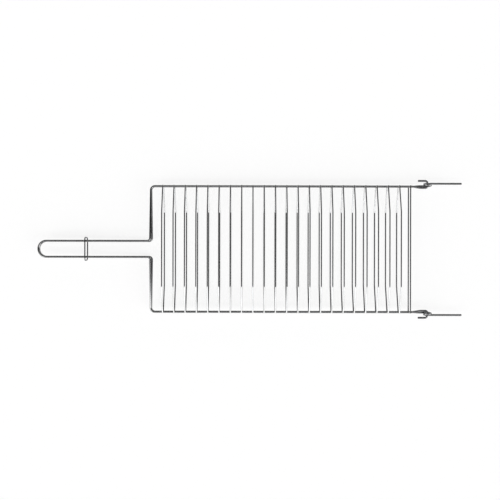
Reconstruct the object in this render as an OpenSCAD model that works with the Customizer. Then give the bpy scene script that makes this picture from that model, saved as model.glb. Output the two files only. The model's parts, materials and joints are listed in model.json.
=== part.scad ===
// Double grill grate: two wire grids, hinged at one end, that close over the food.
// X runs from the handle (-X) to the support arms (+X), Y runs along the cross bars, Z is up.
// The origin is the middle of the footprint, on the surface that the grate lies on.
// Every size is in millimetres.

/* [Frames] */
// Length of a grid, from its end wire to the hinge axis
grid_l = 483.8; // [380:0.1:620]
// Width of a grid between its two rails
grid_w = 220; // [170:1:300]
// Thickness of the frame wire
frame_d = 3.6; // [2.8:0.1:4.2]
// Bend radius of the frames' outer corners
corner_r = 7; // [4:0.5:14]
// Gap between the rails of the closed frames
frame_gap = 0.3; // [0.2:0.05:1]

/* [Handle] */
// Length of the handle, from the end wire to the handle's tip
handle_l = 196.7; // [140:0.1:260]
// Width of the handle between its two wires
handle_w = 28; // [20:1:40]
// Height by which each frame swings away from the other at the handle's root
handle_rise = 8.5; // [4:0.5:14]
// Bend radius between the end wire and the handle
root_r = 5; // [3:0.5:8]
// Length of the straight at the very tip, between its two bends
tip_flat = 1; // [0.8:0.1:8]

/* [Cross bars] */
// Number of cranked bars in each grid
bar_n = 22; // [12:1:26]
// Thickness of a bar
bar_d = 2.2; // [1.6:0.1:2.6]
// Distance from the end wire to the first bar
first_bar = 21; // [12:0.5:40]
// Distance from the last cranked bar to the hinge axis
last_bar_back = 49.1; // [46:0.1:80]
// Distance from the upper grid's straight end bar to the hinge axis
upper_end_back = 30; // [28:0.5:42]
// Distance from the lower grid's straight end bar to the hinge axis
lower_end_back = 31.3; // [28:0.1:42]
// Height of a bar's raised middle over its seat on the rail
bar_rise = 12; // [6:0.2:20]
// Length of the raised middle, from kink to kink
bar_flat = 130; // [80:1:150]
// Length by which a bar runs on past its seat on the rail
bar_over = 1; // [0.5:0.1:3]
// Bend radius at the kinks on both sides of a bar's raised middle
kink_r = 3; // [2:0.5:6]
// Gap in the seat between a bar and the rail, which the weld fills
weld_gap = 0.05; // [0.02:0.01:0.1]

/* [Hinge] */
// Radius of the eye that the lower frame's wire makes round the hinge pin
eye_r = 5.4; // [5.3:0.1:7]
// Distance by which the lower rail steps out to the eye
eye_step = 1; // [0.6:0.1:2.5]
// Distance by which the eye's top run stands further out than the step
eye_lead = 1.2; // [0.6:0.1:1.8]
// Length of the straights between the eye's four bends
eye_straight = 1.2; // [1:0.1:3]
// Gap between the eye's two runs, where they pass each other
eye_gap = 0.3; // [0.2:0.1:1]
// Length of the support arm past the hinge axis
arm_l = 61; // [35:0.5:90]
// Distance from the hinge axis to where the arm runs straight
arm_start = 9; // [8:0.5:14]
// Distance by which the arm stands further out than the end of the eye
arm_step = 0.4; // [0.2:0.1:1.5]
// Distance from the support arm out to the upper frame's tail
tail_step = 4.5; // [4.2:0.1:7]
// Length of the tail, back from the hinge axis
tail_l = 16.3; // [10:0.1:26]
// Bend radius of the turned-back tail
tail_r = 3.9; // [2.8:0.1:4.2]
// Bend radius between the upper rail and the hinge pin
pin_r = 3; // [2.4:0.1:3.6]
// Bend radius where a wire steps slightly aside
step_r = 20; // [12:1:30]
// Gap between the upper rail and the eye, when the grate is opened flat
swing_gap = 0.3; // [0.2:0.05:0.8]

/* [Bent wire] */
// Hair's breadth by which a bend draws the wire down, all round
draw_down = 0.01; // [0.005:0.005:0.02]
// Length by which each straight run laps the bends next to it
lap = 0.1; // [0.05:0.05:0.2]

/* [Slide ring] */
// Thickness of the ring's wire
ring_d = 2.2; // [1.6:0.1:2.6]
// Distance from the handle's tip to the ring
ring_back = 83; // [40:1:110]
// Gap between the ring and the handle, above and below
ring_gap = 0.3; // [0.2:0.05:0.6]
// Play between the ring and the handle at each side
ring_side = 3; // [2:0.05:8]
// Bend radius of the ring's upper corners
ring_top_r = 3.5; // [2:0.5:4]

/* [Hidden] */
$fn = 32;
upper = 1;
lower = -1;
steel = [0.55, 0.55, 0.56];

// Plan: places along the grate
overall_l = frame_d / 2 + handle_l + grid_l + arm_l;
arm_end_x = overall_l / 2;
hinge_x = arm_end_x - arm_l;
end_wire_x = hinge_x - grid_l;
tip_x = end_wire_x - handle_l;
bar_pitch = (grid_l - first_bar - last_bar_back) / (bar_n - 1);

// Plan: places across the grate
rail_y = grid_w / 2;
handle_y = handle_w / 2;
tip_r = handle_y - tip_flat / 2;

// Height: a bar's seat on its rail, and the two frames
seat_h = frame_d / 2 + weld_gap + bar_d / 2;
flat_h = seat_h + bar_rise;
lower_z = bar_d / 2 + flat_h;
upper_z = lower_z + frame_d + frame_gap;

// A cranked bar: its slope touches the weld gap round the rail, then runs on a little
slope_run = rail_y - bar_flat / 2;
slope_sight = norm([slope_run, flat_h]);
slope_angle = atan2(flat_h, slope_run) - asin(seat_h / slope_sight);
slope_l = sqrt(pow(slope_sight, 2) - pow(seat_h, 2)) + bar_over;
bar_end_y = bar_flat / 2 + slope_l * cos(slope_angle);
bar_end_h = flat_h - slope_l * sin(slope_angle);

// The eye: a nearly round loop that climbs outwards as it turns
eye_corner_r = eye_r - eye_straight / 2;
eye_top_z = lower_z + 2 * eye_r;
eye_in_y = rail_y + eye_step;
eye_top_y = eye_in_y + eye_lead;
eye_out_y = eye_in_y + frame_d + eye_gap;
arm_y = eye_out_y + arm_step;
tail_y = arm_y + tail_step;

// The upper rail steps in, to pass inside the eye when it swings right over
eye_side_y = eye_in_y + eye_lead * (upper_z - lower_z) / (2 * eye_r);
upper_in_y = eye_side_y - frame_d - swing_gap;
step_l = 14;
step_clear = 2 * eye_r + frame_d / 2;

// The slide ring: it bears on both handles where they have come near enough
ring_x = tip_x + ring_back;
ring_spread = handle_rise * ring_back / handle_l;
ring_off = frame_d / 2 + ring_gap + ring_d / 2;
ring_top_z = upper_z + ring_spread + ring_off;
ring_bottom_z = lower_z - ring_spread - ring_off;
ring_bottom_r = frame_d / 2 + ring_side + ring_d / 2;
ring_y = handle_y + ring_bottom_r;

function bar_name(side, i) = str(side, "_bar_", i);

function unit(v) = v / norm(v);
function turn_between(u, v) = acos(min(1, u * v));
function reversed(list) = [for (i = [len(list) - 1 : -1 : 0]) list[i]];

// A knot is a point on a wire and the bend radius there: 0 at a sharp kink or a free end
function place(knot) = knot[0];
function bend(knot) = knot[1];
function mirrored(knot) = [[place(knot).x, -place(knot).y, place(knot).z], bend(knot)];

// A wire that is the same on both sides of the grate, from one free end to the other
function both_sides(half) = concat([for (knot = reversed(half)) mirrored(knot)], half);

// Length of straight wire that a bend takes up on each side of its corner
function taken_up(u, v, r) = r * tan(turn_between(u, v) / 2);

// Straight run of round wire from point a to point b
module straight_wire(a, b, d) {
    v = b - a;
    translate(a)
        rotate([0, acos(v.z / norm(v)), atan2(v.y, v.x)])
            cylinder(h = norm(v), d = d);
}

// Bend of round wire at corner p, which it reaches along u and leaves along v
module wire_bend(p, u, v, r, d) {
    turn = turn_between(u, v);
    centre = p + unit(v - u) * r / cos(turn / 2);
    out = unit(p - u * taken_up(u, v, r) - centre);
    up = cross(out, u);
    multmatrix([
        [out.x, u.x, up.x, centre.x],
        [out.y, u.y, up.y, centre.y],
        [out.z, u.z, up.z, centre.z],
        [0, 0, 0, 1]])
        rotate_extrude(angle = turn) translate([r, 0]) circle(d = d - 2 * draw_down);
}

// One bent wire through the knots: its two ends are square, or it closes on itself
module bent_wire(knots, d, closed = false) {
    n = len(knots);
    runs = closed ? n : n - 1;
    run = [for (i = [0 : runs - 1]) unit(place(knots[(i + 1) % n]) - place(knots[i]))];
    corners = closed ? [0 : n - 1] : [1 : n - 2];
    cut = [for (i = [0 : n - 1])
        !closed && (i == 0 || i == n - 1) ? 0
        : taken_up(run[(i + runs - 1) % runs], run[i % runs], bend(knots[i])) - lap];
    for (i = [0 : runs - 1]) {
        j = (i + 1) % n;
        straight_wire(place(knots[i]) + run[i] * cut[i], place(knots[j]) - run[i] * cut[j], d);
    }
    for (i = corners)
        wire_bend(place(knots[i]), run[(i + runs - 1) % runs], run[i % runs], bend(knots[i]), d);
}

// Handle and end wire of one frame: tip, root and outer corner
function handle_knots(z, side) = [
    [[tip_x, handle_y, z], tip_r],
    [[end_wire_x, handle_y, z + side * handle_rise], root_r],
    [[end_wire_x, rail_y, z], corner_r]];

// Step of a rail on its way to the hinge, to a new place across the grate
function rail_step(y, z) = [
    [[hinge_x - step_clear - step_l, rail_y, z], step_r],
    [[hinge_x - step_clear, y, z], step_r]];

// Upper frame: one wire, whose ends are the hinge pins and their turned-back tails
upper_half = concat(
    handle_knots(upper_z, upper),
    rail_step(upper_in_y, upper_z),
    [
        [[hinge_x, upper_in_y, upper_z], pin_r],
        [[hinge_x, tail_y, upper_z], tail_r],
        [[hinge_x - tail_l, tail_y, upper_z], 0]]);

module upper_frame() {
    color(steel) bent_wire(both_sides(upper_half), frame_d);
}

// Lower frame: one wire, whose ends make an eye round each pin and run on as support arms
lower_half = concat(
    handle_knots(lower_z, lower),
    rail_step(eye_in_y, lower_z),
    [
        [[hinge_x + eye_r, eye_in_y, lower_z], eye_corner_r],
        [[hinge_x + eye_r, eye_top_y, eye_top_z], eye_corner_r],
        [[hinge_x - eye_r, eye_top_y, eye_top_z], eye_corner_r],
        [[hinge_x - eye_r, eye_out_y, lower_z], eye_corner_r],
        [[hinge_x + arm_start, arm_y, lower_z], step_r],
        [[arm_end_x, arm_y, lower_z], 0]]);

module lower_frame() {
    color(steel) bent_wire(both_sides(lower_half), frame_d);
}

// Cranked bar: its ends lie on the rails and its middle stands off the food space
module cranked_bar(i, rail_z, side) {
    x = end_wire_x + first_bar + (i - 1) * bar_pitch;
    half = [
        [[x, bar_flat / 2, rail_z + side * flat_h], kink_r],
        [[x, bar_end_y, rail_z + side * bar_end_h], 0]];
    color(steel) bent_wire(both_sides(half), bar_d);
}

module upper_bar(i) {
    cranked_bar(i, upper_z, upper);
}

module lower_bar(i) {
    cranked_bar(i, lower_z, lower);
}

// Straight bar across the rails at the hinge end
module end_bar(back, rail_z, side) {
    half = [[[hinge_x - back, rail_y + frame_d / 2, rail_z + side * seat_h], 0]];
    color(steel) bent_wire(both_sides(half), bar_d);
}

module upper_end_bar() {
    end_bar(upper_end_back, upper_z, upper);
}

module lower_end_bar() {
    end_bar(lower_end_back, lower_z, lower);
}

// Slide ring: a closed loop that holds the two handles together
module slide_ring() {
    half = [
        [[ring_x, ring_y, ring_top_z], ring_top_r],
        [[ring_x, ring_y, ring_bottom_z], ring_bottom_r]];
    color(steel) bent_wire(both_sides(half), ring_d, closed = true);
}

upper_frame();
lower_frame();
for (i = [1 : bar_n]) {
    upper_bar(i);
    lower_bar(i);
}
upper_end_bar();
lower_end_bar();
slide_ring();
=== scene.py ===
"""Double grill grate: looks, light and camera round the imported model. Every size is in metres."""
import json
import math

import bpy
import numpy as np
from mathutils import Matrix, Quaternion, Vector, noise


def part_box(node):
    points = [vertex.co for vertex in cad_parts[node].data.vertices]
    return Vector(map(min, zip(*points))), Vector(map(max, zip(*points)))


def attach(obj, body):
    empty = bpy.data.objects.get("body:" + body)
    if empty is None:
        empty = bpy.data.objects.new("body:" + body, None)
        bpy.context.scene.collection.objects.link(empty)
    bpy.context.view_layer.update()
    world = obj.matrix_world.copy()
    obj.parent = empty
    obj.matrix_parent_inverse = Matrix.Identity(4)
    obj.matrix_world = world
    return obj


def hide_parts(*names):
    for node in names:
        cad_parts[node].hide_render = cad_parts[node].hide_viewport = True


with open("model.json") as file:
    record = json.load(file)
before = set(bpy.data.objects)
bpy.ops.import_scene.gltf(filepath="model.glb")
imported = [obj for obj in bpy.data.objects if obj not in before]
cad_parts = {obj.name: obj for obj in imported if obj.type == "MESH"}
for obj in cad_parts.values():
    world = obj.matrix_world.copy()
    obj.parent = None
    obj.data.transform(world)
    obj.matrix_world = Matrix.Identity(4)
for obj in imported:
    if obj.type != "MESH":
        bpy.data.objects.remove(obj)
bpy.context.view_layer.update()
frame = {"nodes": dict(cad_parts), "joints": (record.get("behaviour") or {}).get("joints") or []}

# Sides of the grate: which grid a piece belongs to, and which hand it lies on
UPPER, LOWER = 1, -1
LEFT, RIGHT = 1, -1
BODY = {UPPER: "upper_grid", LOWER: "lower_grid"}
PREFIX = {UPPER: "upper", LOWER: "lower"}

# Wires, the rounding of their cut ends, and the gaps between them
WIRE_R = 0.0018
BAR_R = 0.0011
RING_R = 0.0011
CUT_EDGE = 0.0002
FRAME_GAP = 0.0003
WELD_GAP = 0.00005
SEAT = WIRE_R + WELD_GAP + BAR_R

# Frames, measured from the tip of the handle to the support arms
RAIL_Y = 0.110
HANDLE_Y = 0.014
HANDLE_RISE = 0.0085
TIP_R = 0.0135
ROOT_R = 0.005
CORNER_R = 0.007
GRID_L = 0.4838
HANDLE_L = 0.1967

# Hinge
STEP_FAR = 0.0266
STEP_NEAR = 0.0126
STEP_R = 0.020
EYE_R = 0.0054
EYE_BEND_R = 0.0048
EYE_IN_Y = 0.1110
EYE_TOP_Y = 0.1122
EYE_OUT_Y = 0.1149
ARM_START = 0.009
PIN_BEND_R = 0.003
TAIL_BEND_R = 0.0039
TAIL_L = 0.0163
UPPER_IN_Y = 0.107533

# Cross bars and slide ring
BAR_FLAT_Y = 0.065
BAR_KINK_R = 0.003
RING_TOP_BEND_R = 0.0035

# Fineness of the wires' meshes
WIRE_SIDES = 28
BAR_SIDES = 20
BEND_STEP = math.radians(6)
LEAST_BEND_STEPS = 2
END_STEPS = 4
SHARP_ANGLE = math.radians(40)

# A run that is long and straight enough gets a ring this far inside each of its ends
RUN_LEAD = 0.0003
LONG_RUN = 4 * RUN_LEAD
STRAIGHT_COSINE = 0.999

# Places that the frame gives
hinge = Vector(next(j for j in frame["joints"] if j["name"] == "grid_hinge")["pos_m"])
RAIL_Z = {UPPER: hinge.z, LOWER: hinge.z - 2 * WIRE_R - FRAME_GAP}
END_WIRE_X = hinge.x - GRID_L
TIP_X = END_WIRE_X - HANDLE_L
ARM_END_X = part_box("lower_frame")[1].x
ARM_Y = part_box("lower_frame")[1].y - WIRE_R
TAIL_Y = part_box("upper_frame")[1].y - WIRE_R
BAR_COUNT = sum(name.startswith("upper_bar_") for name in frame["nodes"])


def middle(node):
    """Middle of a CAD node's box."""
    low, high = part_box(node)
    return (low + high) / 2


# Meshes of bent wires

def knot(x, y, z, radius=0.0):
    """A corner or an end of a wire, and the radius of its bend there."""
    return Vector((x, y, z)), radius


def mirrored(knots):
    return [(Vector((p.x, -p.y, p.z)), r) for p, r in reversed(knots)]


def both_sides(half):
    """A wire that is the same on both hands of the grate, from one end to the other."""
    return mirrored(half) + half


def bend_rings(corner, u, v, radius):
    """Points and directions along a bend at corner, reached along u and left along v."""
    turn = u.angle(v)
    start = corner - u * radius * math.tan(turn / 2)
    centre = corner + (v - u).normalized() * radius / math.cos(turn / 2)
    axis = u.cross(v).normalized()
    steps = max(LEAST_BEND_STEPS, math.ceil(turn / BEND_STEP))
    for k in range(steps + 1):
        turned = Quaternion(axis, turn * k / steps)
        yield centre + turned @ (start - centre), turned @ u


def wire_line(knots, closed):
    """Centre line of a bent wire, as rings of (point, direction)."""
    count = len(knots)
    runs = count if closed else count - 1
    heading = [(knots[(i + 1) % count][0] - knots[i][0]).normalized() for i in range(runs)]
    line = []
    for i, (corner, radius) in enumerate(knots):
        if not closed and i in (0, count - 1):
            line.append((corner, heading[min(i, runs - 1)]))
        else:
            line.extend(bend_rings(corner, heading[(i - 1) % runs], heading[i % runs], radius))
    return line


def rounded_end(point, inward, radius):
    """Points and radii of a cropped wire end, from the flat of the cut to the full wire."""
    rings = []
    for k in range(END_STEPS + 1):
        a = math.pi / 2 * k / END_STEPS
        depth = CUT_EDGE * (1 - math.cos(a))
        rings.append((point + inward * depth, radius - CUT_EDGE + CUT_EDGE * math.sin(a)))
    return rings


def with_run_ends(rings):
    """Adds a ring just inside both ends of each straight, so that its shading stays straight."""
    full = []
    for (p, u, r), (q, _, _) in zip(rings, rings[1:] + rings[:1]):
        full.append((p, u, r))
        run = q - p
        way = run.normalized()
        if run.length > LONG_RUN and way.dot(u) > STRAIGHT_COSINE:
            full += [(p + way * RUN_LEAD, way, r), (q - way * RUN_LEAD, way, r)]
    return full


def sweep_rings(line, radius, closed):
    """Rings of (point, direction, radius) along the line, with rounded ends on an open wire."""
    if closed:
        return with_run_ends([(point, direction, radius) for point, direction in line])
    (first, u), (last, v) = line[0], line[-1]
    start = [(p, u, r) for p, r in rounded_end(first, u, radius)]
    finish = [(p, v, r) for p, r in reversed(rounded_end(last, -v, radius))]
    return with_run_ends(start + [(p, d, radius) for p, d in line[1:-1]] + finish)


def sides_of(rings, closed):
    """A direction square to the wire at each ring, carried along it. A closed wire's meets itself."""
    side = rings[0][1].orthogonal().normalized()
    carried = [side]
    for (_, d0, _), (_, d1, _) in zip(rings, rings[1:] + rings[:1]):
        side = (d0.rotation_difference(d1) @ side).normalized()
        carried.append(side)
    twist = 0.0
    if closed:
        d = rings[0][1]
        twist = math.atan2(d.dot(carried[-1].cross(carried[0])), carried[-1].dot(carried[0]))
    count = len(rings)
    return [Quaternion(ring[1], twist * i / count) @ carried[i] for i, ring in enumerate(rings)]


def wire_faces(count, sides, closed, along):
    """Faces between a wire's rings and over its cut ends, and the UV place of each of their corners."""
    faces, uvs = [], []
    for i in range(count if closed else count - 1):
        j = (i + 1) % count
        for k in range(sides):
            m = (k + 1) % sides
            faces.append((i * sides + k, i * sides + m, j * sides + m, j * sides + k))
            uvs += [(k / sides, along[i]), ((k + 1) / sides, along[i]),
                    ((k + 1) / sides, along[i + 1]), (k / sides, along[i + 1])]
    if not closed:
        first, last = list(range(sides)), list(range((count - 1) * sides, count * sides))
        faces += [tuple(reversed(first)), tuple(last)]
        uvs += [(k / sides, along[0]) for k in reversed(range(sides))]
        uvs += [(k / sides, along[count - 1]) for k in range(sides)]
    return faces, uvs


def swept_wire(name, knots, radius, sides, closed=False):
    """Mesh of a bent round wire. Its UV map runs round the wire and along it, in wire girths."""
    rings = sweep_rings(wire_line(knots, closed), radius, closed)
    count = len(rings)
    points, along = [], [0.0]
    for i, ((point, direction, r), out) in enumerate(zip(rings, sides_of(rings, closed))):
        over = direction.cross(out)
        for k in range(sides):
            a = 2 * math.pi * k / sides
            points.append(point + r * (math.cos(a) * out + math.sin(a) * over))
        following = rings[(i + 1) % count][0]
        along.append(along[-1] + (following - point).length / (2 * math.pi * radius))
    return mesh_piece(name, points, *wire_faces(count, sides, closed, along))


def mesh_piece(name, points, faces, uvs=None):
    """A smooth-shaded object with sharp edges where the surface really turns."""
    mesh = bpy.data.meshes.new(name)
    mesh.from_pydata([tuple(p) for p in points], [], faces)
    if uvs:
        layer = mesh.uv_layers.new(name="wire")
        layer.data.foreach_set("uv", np.array(uvs, np.float32).ravel())
    mesh.shade_smooth()
    mesh.set_sharp_from_angle(angle=SHARP_ANGLE)
    piece = bpy.data.objects.new(name, mesh)
    bpy.context.scene.collection.objects.link(piece)
    return piece


# Bent wires of the two frames

def frame_start(grid, step_y):
    """Handle, end wire and rail of one frame, as far as its step near the hinge."""
    z = RAIL_Z[grid]
    return [
        knot(TIP_X, HANDLE_Y, z, TIP_R),
        knot(END_WIRE_X, HANDLE_Y, z + grid * HANDLE_RISE, ROOT_R),
        knot(END_WIRE_X, RAIL_Y, z, CORNER_R),
        knot(hinge.x - STEP_FAR, RAIL_Y, z, STEP_R),
        knot(hinge.x - STEP_NEAR, step_y, z, STEP_R),
    ]


def upper_frame_knots():
    """Upper frame, which ends in the pins of the hinge and their turned-back tails."""
    z = RAIL_Z[UPPER]
    return both_sides(frame_start(UPPER, UPPER_IN_Y) + [
        knot(hinge.x, UPPER_IN_Y, z, PIN_BEND_R),
        knot(hinge.x, TAIL_Y, z, TAIL_BEND_R),
        knot(hinge.x - TAIL_L, TAIL_Y, z),
    ])


def lower_frame_knots():
    """Lower frame, which winds round the pins as eyes and runs on as the support arms."""
    z = RAIL_Z[LOWER]
    top = z + 2 * EYE_R
    return both_sides(frame_start(LOWER, EYE_IN_Y) + [
        knot(hinge.x + EYE_R, EYE_IN_Y, z, EYE_BEND_R),
        knot(hinge.x + EYE_R, EYE_TOP_Y, top, EYE_BEND_R),
        knot(hinge.x - EYE_R, EYE_TOP_Y, top, EYE_BEND_R),
        knot(hinge.x - EYE_R, EYE_OUT_Y, z, EYE_BEND_R),
        knot(hinge.x + ARM_START, ARM_Y, z, STEP_R),
        knot(ARM_END_X, ARM_Y, z),
    ])


# Cross bars and slide ring

def bar_knots(node, grid):
    """A cranked bar and its slope: its flat lies where the frame says, and its ends lean on the rails."""
    low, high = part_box(node)
    x = middle(node).x
    flat_z = high.z - BAR_R if grid == UPPER else low.z + BAR_R
    rise = abs(flat_z - RAIL_Z[grid])
    run = RAIL_Y - BAR_FLAT_Y
    slope = math.atan2(rise, run) - math.asin(SEAT / math.hypot(run, rise))
    end_y = high.y - BAR_R * math.sin(slope)
    end_z = flat_z - grid * (end_y - BAR_FLAT_Y) * math.tan(slope)
    return both_sides([knot(x, BAR_FLAT_Y, flat_z, BAR_KINK_R), knot(x, end_y, end_z)]), slope


def end_bar_knots(node):
    """A straight bar, as long as the frame says."""
    at = middle(node)
    return both_sides([knot(at.x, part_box(node)[1].y, at.z)])


def ring_knots():
    """Closed ring round the wires of both handle loops."""
    low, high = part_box("slide_ring")
    x, y = middle("slide_ring").x, high.y - RING_R
    return both_sides([
        knot(x, y, high.z - RING_R, RING_TOP_BEND_R),
        knot(x, y, low.z + RING_R, y - HANDLE_Y),
    ])


# Weld beads, one where each bar end lies on its rail

BEAD_ALONG_RAIL = 0.0016
BEAD_ALONG_BAR = 0.0015
BEAD_THICK = 0.00065
BEAD_ROUGHNESS = 0.10
BEAD_GRAIN = 900
BEAD_RINGS, BEAD_SIDES = 8, 14


def bead_shape(centre, normal):
    """Points and faces of one irregular bead, squeezed out between a bar and a rail."""
    along_rail = Vector((1, 0, 0))
    along_bar = normal.cross(along_rail).normalized()
    axes = (along_rail * BEAD_ALONG_RAIL, along_bar * BEAD_ALONG_BAR, normal * BEAD_THICK)
    points = []
    for i in range(1, BEAD_RINGS):
        polar = math.pi * i / BEAD_RINGS
        for k in range(BEAD_SIDES):
            a = 2 * math.pi * k / BEAD_SIDES
            points.append((math.sin(polar) * math.cos(a), math.sin(polar) * math.sin(a), math.cos(polar)))
    points += [(0, 0, 1), (0, 0, -1)]
    placed = []
    for p in points:
        at = sum((axis * c for axis, c in zip(axes, p)), Vector())
        placed.append(centre + at * (1 + BEAD_ROUGHNESS * noise.noise((centre + at) * BEAD_GRAIN)))
    top, bottom = len(points) - 2, len(points) - 1
    last = (BEAD_RINGS - 2) * BEAD_SIDES
    faces = []
    for k in range(BEAD_SIDES):
        m = (k + 1) % BEAD_SIDES
        faces.append((top, k, m))
        faces.append((bottom, last + m, last + k))
        for i in range(BEAD_RINGS - 2):
            a, b = i * BEAD_SIDES, (i + 1) * BEAD_SIDES
            faces.append((a + k, b + k, b + m, a + m))
    return placed, faces


def weld_beads(name, seats):
    """All beads of one grid as one piece. A seat is (x, slope of the bar there, grid)."""
    points, faces = [], []
    for x, slope, grid in seats:
        for hand in (LEFT, RIGHT):
            normal = Vector((0, hand * math.sin(slope), grid * math.cos(slope)))
            rail = Vector((x, hand * RAIL_Y, RAIL_Z[grid]))
            placed, shape = bead_shape(rail + normal * (WIRE_R + WELD_GAP / 2), normal)
            faces += [tuple(v + len(points) for v in face) for face in shape]
            points += placed
    return mesh_piece(name, points, faces)


# Node trees

class Graph:
    """The node tree of a material or a world, and the kinds of node that it is built from."""

    def __init__(self, owner):
        owner.use_nodes = True
        self.nodes, self.links = owner.node_tree.nodes, owner.node_tree.links

    def feed(self, socket, value):
        """Links a socket to another one, or sets it to a plain value."""
        if isinstance(value, bpy.types.NodeSocket):
            self.links.new(value, socket)
        else:
            socket.default_value = value

    def add(self, kind, **inputs):
        """A new node with these inputs. An underscore stands for the space in a socket's name."""
        node = self.nodes.new(kind)
        for name, value in inputs.items():
            self.feed(node.inputs[name.replace("_", " ")], value)
        return node

    def result(self, operation, *values):
        """What a sum with these values comes to."""
        node = self.nodes.new("ShaderNodeMath")
        node.operation = operation
        for socket, value in zip(node.inputs, values):
            self.feed(socket, value)
        return node.outputs[0]

    def fade(self, value, start, end, low, high):
        """Goes from low to high while value goes from start to end."""
        node = self.add("ShaderNodeMapRange", Value=value, From_Min=start, From_Max=end,
                        To_Min=low, To_Max=high)
        return node.outputs["Result"]

    def noise(self, place, scale, detail):
        node = self.add("ShaderNodeTexNoise", Vector=place, Scale=scale, Detail=detail)
        return node.outputs["Fac"]

    def tint(self, value, dull, bright, start=0.0, end=1.0):
        """Goes from the dull colour to the bright one while value goes from start to end."""
        node = self.add("ShaderNodeValToRGB", Fac=value)
        for stop, position, color in zip(node.color_ramp.elements, (start, end), (dull, bright)):
            stop.position = position
            stop.color = (*color, 1)
        return node.outputs["Color"]

    def bump(self, height, strength, depth):
        node = self.add("ShaderNodeBump", Height=height, Strength=strength, Distance=depth)
        return node.outputs["Normal"]


# Materials

# Plated wire: clouds in the tint, marks from drawing along the wire, and fine grain
EDGE_TINT = 0.7
CLOUD_SCALE, CLOUD_DETAIL = 45, 4
CLOUD_START, CLOUD_END = 0.35, 0.6
MARK_STRETCH = (22, 0.35, 1)
MARK_SCALE, MARK_DETAIL = 1.0, 6
MARK_START, MARK_END = 0.3, 0.7
GRAIN_SCALE, GRAIN_DETAIL = 2500, 3
MARKS_IN_RELIEF = 0.6
WIRE_BUMP, WIRE_BUMP_DEPTH = 0.06, 0.00002

# Weld metal
CAST_SCALE, CAST_DETAIL = 1400, 5
WELD_DULL, WELD_BRIGHT = (0.30, 0.28, 0.26), (0.50, 0.50, 0.49)
WELD_ROUGH_LOW, WELD_ROUGH_HIGH = 0.25, 0.5
WELD_BUMP, WELD_BUMP_DEPTH = 0.4, 0.0001


def new_material(name):
    """A material, its node tree and its shader."""
    material = bpy.data.materials.new(name)
    graph = Graph(material)
    return material, graph, graph.nodes["Principled BSDF"]


def chrome(name, dull, bright, rough_low, rough_high):
    """Plated wire: cloudy tint, gloss and fine marks from drawing along the wire, and a soft bump."""
    material, graph, shader = new_material(name)
    shader.inputs["Metallic"].default_value = 1.0
    shader.inputs["Specular Tint"].default_value = (EDGE_TINT, EDGE_TINT, EDGE_TINT, 1)

    place = graph.add("ShaderNodeTexCoord").outputs["Object"]
    cloud = graph.noise(place, CLOUD_SCALE, CLOUD_DETAIL)
    grain = graph.noise(place, GRAIN_SCALE, GRAIN_DETAIL)
    girth = graph.add("ShaderNodeUVMap")
    girth.uv_map = "wire"
    stretch = graph.add("ShaderNodeMapping", Vector=girth.outputs["UV"], Scale=MARK_STRETCH)
    marks = graph.noise(stretch.outputs["Vector"], MARK_SCALE, MARK_DETAIL)
    relief = graph.add("ShaderNodeMix", Factor=MARKS_IN_RELIEF, A=grain, B=marks).outputs["Result"]

    graph.feed(shader.inputs["Base Color"], graph.tint(cloud, dull, bright, CLOUD_START, CLOUD_END))
    graph.feed(shader.inputs["Roughness"], graph.fade(marks, MARK_START, MARK_END, rough_low, rough_high))
    graph.feed(shader.inputs["Normal"], graph.bump(relief, WIRE_BUMP, WIRE_BUMP_DEPTH))
    return material


def weld_metal():
    """Plated weld: rougher and a little warmer than the wire, with a cast grain."""
    material, graph, shader = new_material("weld")
    shader.inputs["Metallic"].default_value = 1.0
    place = graph.add("ShaderNodeTexCoord").outputs["Object"]
    grain = graph.noise(place, CAST_SCALE, CAST_DETAIL)
    graph.feed(shader.inputs["Base Color"], graph.tint(grain, WELD_DULL, WELD_BRIGHT))
    graph.feed(shader.inputs["Roughness"], graph.fade(grain, 0, 1, WELD_ROUGH_LOW, WELD_ROUGH_HIGH))
    graph.feed(shader.inputs["Normal"], graph.bump(grain, WELD_BUMP, WELD_BUMP_DEPTH))
    return material


# Dull tint, bright tint, and the roughness between which the marks range
FRAME_PLATING = ((0.21, 0.21, 0.21), (0.24, 0.243, 0.247), 0.04, 0.08)
BAR_PLATING = ((0.275, 0.275, 0.273), (0.32, 0.323, 0.327), 0.04, 0.09)
FRAME_CHROME = chrome("frame_chrome", *FRAME_PLATING)
BAR_CHROME = chrome("bar_chrome", *BAR_PLATING)
RING_CHROME = chrome("ring_chrome", *FRAME_PLATING)
WELD_METAL = weld_metal()


def dress(piece, body, material, slot, *nodes):
    """Gives a piece its material and its body, and hides the CAD nodes that it stands for."""
    piece.data.materials.append(material)
    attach(piece, body)
    if nodes:
        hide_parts(*nodes)
    return piece


def make_frames():
    upper = swept_wire("upper_frame_wire", upper_frame_knots(), WIRE_R, WIRE_SIDES)
    lower = swept_wire("lower_frame_wire", lower_frame_knots(), WIRE_R, WIRE_SIDES)
    dress(upper, BODY[UPPER], FRAME_CHROME, "frame_wire", "upper_frame")
    dress(lower, BODY[LOWER], FRAME_CHROME, "frame_wire", "lower_frame")


def make_bars(grid):
    """The cross bars of one grid, each a piece, and their weld beads."""
    seats = []
    for i in range(1, BAR_COUNT + 1):
        node = f"{PREFIX[grid]}_bar_{i}"
        knots, slope = bar_knots(node, grid)
        bar = swept_wire(f"{node}_wire", knots, BAR_R, BAR_SIDES)
        dress(bar, BODY[grid], BAR_CHROME, "bar_wire", node)
        seats.append((middle(node).x, slope, grid))
    node = f"{PREFIX[grid]}_end_bar"
    bar = swept_wire(f"{node}_wire", end_bar_knots(node), BAR_R, BAR_SIDES)
    dress(bar, BODY[grid], BAR_CHROME, "bar_wire", node)
    seats.append((middle(node).x, 0.0, grid))
    dress(weld_beads(f"{PREFIX[grid]}_welds", seats), BODY[grid], WELD_METAL, "bar_wire")


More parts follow.
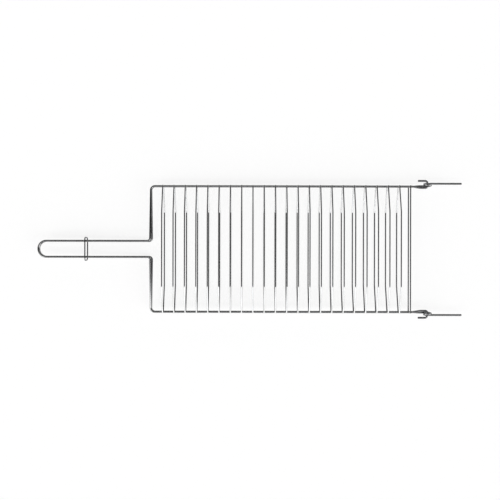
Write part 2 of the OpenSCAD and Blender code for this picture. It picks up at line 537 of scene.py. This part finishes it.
def make_ring():
    ring = swept_wire("slide_ring_wire", ring_knots(), RING_R, BAR_SIDES, closed=True)
    dress(ring, "ring", RING_CHROME, "ring_wire", "slide_ring")


# Camera: it looks straight down on the grate

CAMERA_HEIGHT = 1.0727
CAMERA_X = 0.0004
CAMERA_Y = -0.0016
CAMERA_ROLL = math.radians(0.1)
SENSOR = 36.0
FOCAL_PX = 601.4
IMAGE_PX = 500.0
CLIP_START, CLIP_END = 0.01, 50


def add_camera():
    data = bpy.data.cameras.new("camera")
    data.sensor_width = SENSOR
    data.lens = FOCAL_PX / IMAGE_PX * SENSOR
    data.clip_start, data.clip_end = CLIP_START, CLIP_END
    camera = bpy.data.objects.new("camera", data)
    camera.location = (CAMERA_X, CAMERA_Y, CAMERA_HEIGHT)
    camera.rotation_euler = (0, 0, CAMERA_ROLL)
    bpy.context.scene.collection.objects.link(camera)
    bpy.context.scene.camera = camera


# Studio: white floor, bright horizon, dark ceiling, and long panels of light on the -Y side

FLOOR_R = 8.0
FLOOR_SIDES = 96
FLOOR_WHITE, FLOOR_OFF_WHITE = 0.9, 0.89
FLOOR_CLOUDS = 3
FLOOR_GLOW = 1.03
GLOW_SHARE = 0.8
HORIZON = 1.0
HORIZON_TOP = math.radians(23)
CEILING_FROM = math.radians(24.5)
PANEL_EDGE = math.radians(0.5)
PANEL_RADIANCE = 4.0
# Up to this far aside the middle panels shine, and beyond it the side panel
MIDDLE_REACH = 0.42
REACH_EDGE = 0.01
# From where to where each panel goes, in degrees off the zenith
MIDDLE_PANELS = [(14.5, 17.5), (24.0, 27.0), (31.0, 39.0)]
SIDE_PANEL = (17.0, 80.0)


def floor_paint():
    """Pale floor that shows white to the camera and in metal, and keeps a share of the shadow."""
    material, graph, shader = new_material("floor")
    graph.nodes.remove(shader)
    clouds = graph.add("ShaderNodeTexNoise", Scale=FLOOR_CLOUDS).outputs["Fac"]
    tone = graph.tint(clouds, (FLOOR_OFF_WHITE,) * 3, (FLOOR_WHITE,) * 3)
    matt = graph.add("ShaderNodeBsdfDiffuse", Color=tone)
    glow = graph.add("ShaderNodeEmission", Strength=FLOOR_GLOW)
    path = graph.add("ShaderNodeLightPath").outputs
    seen = graph.result("MAXIMUM", path["Is Camera Ray"], path["Is Glossy Ray"])
    seen = graph.result("MAXIMUM", seen, path["Is Transmission Ray"])
    mix = graph.add("ShaderNodeMixShader", Fac=graph.result("MULTIPLY", seen, GLOW_SHARE))
    graph.feed(mix.inputs[1], matt.outputs["BSDF"])
    graph.feed(mix.inputs[2], glow.outputs["Emission"])
    graph.feed(graph.nodes["Material Output"].inputs["Surface"], mix.outputs["Shader"])
    return material


def add_floor():
    rim = [2 * math.pi * k / FLOOR_SIDES for k in range(FLOOR_SIDES)]
    points = [(FLOOR_R * math.cos(a), FLOOR_R * math.sin(a), 0) for a in rim]
    floor = mesh_piece("floor", points, [tuple(range(FLOOR_SIDES))])
    floor.data.materials.append(floor_paint())


class Room(Graph):
    """Builds the room's light from the way that a ray leaves in."""

    def __init__(self, world):
        super().__init__(world)
        way = self.add("ShaderNodeTexCoord").outputs["Generated"]
        split = self.add("ShaderNodeSeparateXYZ", Vector=way).outputs
        self.height = split["Z"]
        self.aside = self.result("ABSOLUTE", split["X"])
        self.lean = self.result("ARCTAN2", self.result("MULTIPLY", split["Y"], -1), self.height)

    def band(self, span):
        """One between these angles off the zenith, towards -Y, and zero elsewhere."""
        inner, outer = (math.radians(angle) for angle in span)
        rise = self.fade(self.lean, inner - PANEL_EDGE, inner + PANEL_EDGE, 0, 1)
        fall = self.fade(self.lean, outer - PANEL_EDGE, outer + PANEL_EDGE, 1, 0)
        return self.result("MINIMUM", rise, fall)


def add_room():
    """White at the horizon, dark overhead, and lit by panels on the -Y side."""
    world = bpy.data.worlds.new("room")
    bpy.context.scene.world = world
    room = Room(world)
    beside = room.fade(room.aside, MIDDLE_REACH - REACH_EDGE, MIDDLE_REACH + REACH_EDGE, 0, 1)
    over = 0.0
    for span in MIDDLE_PANELS:
        over = room.result("MAXIMUM", over, room.band(span))
    over = room.result("MULTIPLY", over, room.result("SUBTRACT", 1, beside))
    panels = room.result("MAXIMUM", over, room.result("MULTIPLY", room.band(SIDE_PANEL), beside))
    horizon = room.fade(room.height, math.sin(HORIZON_TOP), math.sin(CEILING_FROM), HORIZON, 0)
    light = room.result("MAXIMUM", horizon, room.result("MULTIPLY", panels, PANEL_RADIANCE))
    background = room.nodes["Background"]
    background.inputs["Color"].default_value = (1, 1, 1, 1)
    room.feed(background.inputs["Strength"], light)


add_camera()
make_frames()
make_bars(UPPER)
make_bars(LOWER)
make_ring()
add_floor()
add_room()
bpy.context.scene.view_settings.view_transform = "Standard"
